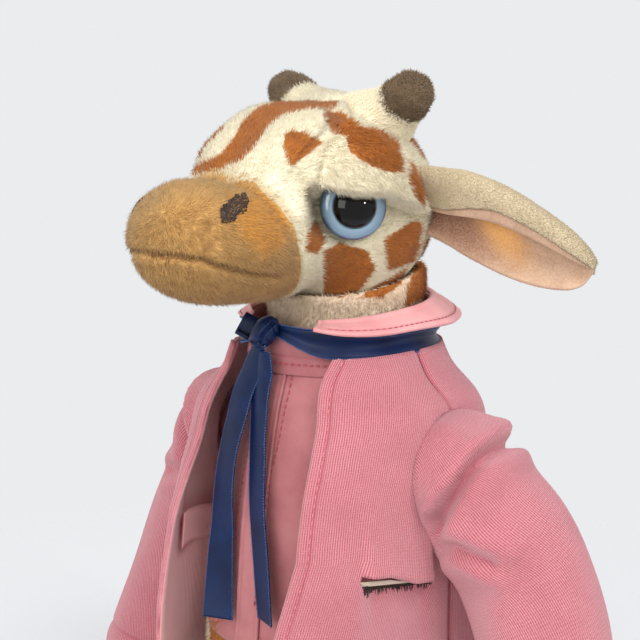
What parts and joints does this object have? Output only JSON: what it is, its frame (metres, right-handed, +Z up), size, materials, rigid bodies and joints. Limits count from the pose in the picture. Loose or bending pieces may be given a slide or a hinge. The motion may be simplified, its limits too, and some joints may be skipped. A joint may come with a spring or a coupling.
{
  "type": "plush giraffe",
  "caption": "Seated plush giraffe with stuffed limbs, padded lids, safety eyes and an open knit jacket over a shirt with a turned-down collar and a ribbon tied at the throat.",
  "frame": {"origin": "middle of the flat seat, on the table under the body", "axes": "+Z up along the spine, -Y the way the giraffe looks, +X the giraffe's own left"},
  "size_m": [0.2074, 0.2784, 0.2547],
  "materials": {
    "cream_plush": "short cream plush pile with russet patches",
    "neck_plush": "short cream plush pile, pinkish at the throat",
    "tan_plush": "short golden tan plush pile",
    "hoof_plush": "brown plush pile",
    "horn_plush": "longer grey-brown plush pile",
    "russet_plush": "russet plush pile",
    "ear_suede": "pink-beige velour",
    "dark_thread": "dense dark embroidery",
    "iris": "light blue gloss plastic",
    "pupil": "black gloss plastic",
    "washer": "plain white plastic",
    "pink_knit": "ribbed pink knit with fine wales",
    "pink_knit_inside": "looped inside of the pink knit",
    "pink_woven": "plain woven rose cotton",
    "pink_collar": "plain woven light pink cotton",
    "cream_tape": "cream tape",
    "navy_satin": "navy satin with picot edges"
  },
  "bodies": {
    "body": {"torso": "cream_plush", "shirt_left_front": "pink_woven", "shirt_right_front": "pink_woven", "shirt_back": "pink_woven", "shirt_placket": "pink_woven", "collar_stand": "pink_collar", "collar_fall": "pink_collar", "jacket_back": "pink_knit", "jacket_left_front": "pink_knit", "left_pocket_tape": "cream_tape", "left_pocket_lining": "pink_knit_inside", "jacket_right_front": "pink_knit", "right_pocket_tape": "cream_tape", "right_pocket_lining": "pink_knit_inside", "ribbon_band": "navy_satin", "ribbon_knot": "navy_satin", "ribbon_loop": "navy_satin"},
    "neck_unit": {"neck": "neck_plush"},
    "head_unit": {"head": "cream_plush", "muzzle": "tan_plush", "left_eye_iris": "iris", "left_eye_pupil": "pupil", "left_eye_washer": "washer", "left_eyelid": "cream_plush", "left_nostril": "dark_thread", "left_horn": "cream_plush", "left_horn_tip": "horn_plush", "right_eye_iris": "iris", "right_eye_pupil": "pupil", "right_eye_washer": "washer", "right_eyelid": "cream_plush", "right_nostril": "dark_thread", "right_horn": "cream_plush", "right_horn_tip": "horn_plush", "mane": "russet_plush"},
    "left_ear_flap": {"left_ear": "cream_plush", "left_ear_lining": "ear_suede"},
    "right_ear_flap": {"right_ear": "cream_plush", "right_ear_lining": "ear_suede"},
    "left_ribbon_end": {"ribbon_left_tail": "navy_satin"},
    "right_ribbon_end": {"ribbon_right_tail": "navy_satin"},
    "tail_unit": {"tail": "cream_plush", "tail_tuft": "russet_plush"},
    "left_arm_unit": {"left_sleeve": "pink_knit", "left_arm": "cream_plush", "left_shirt_sleeve": "pink_woven", "left_front_hoof": "hoof_plush"},
    "left_leg_unit": {"left_leg": "cream_plush", "left_back_hoof": "hoof_plush"},
    "right_arm_unit": {"right_sleeve": "pink_knit", "right_arm": "cream_plush", "right_shirt_sleeve": "pink_woven", "right_front_hoof": "hoof_plush"},
    "right_leg_unit": {"right_leg": "cream_plush", "right_back_hoof": "hoof_plush"}
  },
  "joints": [
    {"name": "neck_turn", "type": "hinge", "parent": "body", "child": "neck_unit", "pos_m": [0, 0, 0.165], "axis": [0, 0, 1], "range_deg": [-25, 25]},
    {"name": "head_nod", "type": "hinge", "parent": "neck_unit", "child": "head_unit", "pos_m": [0, -0.005, 0.209], "axis": [-1, 0, 0], "range_deg": [-3, 20]},
    {"name": "left_ear_swing", "type": "hinge", "parent": "head_unit", "child": "left_ear_flap", "pos_m": [0.03129, 0.008, 0.212], "axis": [0, 0, 1], "range_deg": [-20, 20]},
    {"name": "left_shoulder", "type": "hinge", "parent": "body", "child": "left_arm_unit", "pos_m": [0.05, 0, 0.1275], "axis": [-1, 0, 0], "range_deg": [-45, 110]},
    {"name": "left_hip", "type": "hinge", "parent": "body", "child": "left_leg_unit", "pos_m": [0.023, -0.033, 0.0175], "axis": [-1, 0, 0], "range_deg": [-75, 14]},
    {"name": "left_ribbon_swing", "type": "hinge", "parent": "body", "child": "left_ribbon_end", "pos_m": [0, -0.03785, 0.1652], "axis": [-1, 0, 0], "range_deg": [0, 60]},
    {"name": "right_ear_swing", "type": "hinge", "parent": "head_unit", "child": "right_ear_flap", "pos_m": [-0.03129, 0.008, 0.212], "axis": [0, 0, 1], "range_deg": [-20, 20]},
    {"name": "right_shoulder", "type": "hinge", "parent": "body", "child": "right_arm_unit", "pos_m": [-0.05, 0, 0.1275], "axis": [-1, 0, 0], "range_deg": [-45, 110]},
    {"name": "right_hip", "type": "hinge", "parent": "body", "child": "right_leg_unit", "pos_m": [-0.023, -0.033, 0.0175], "axis": [-1, 0, 0], "range_deg": [-75, 14]},
    {"name": "right_ribbon_swing", "type": "hinge", "parent": "body", "child": "right_ribbon_end", "pos_m": [0, -0.03785, 0.1652], "axis": [-1, 0, 0], "range_deg": [0, 60]},
    {"name": "tail_lift", "type": "hinge", "parent": "body", "child": "tail_unit", "pos_m": [0, 0.039, 0.024], "axis": [1, 0, 0], "range_deg": [0, 60]}
  ]
}
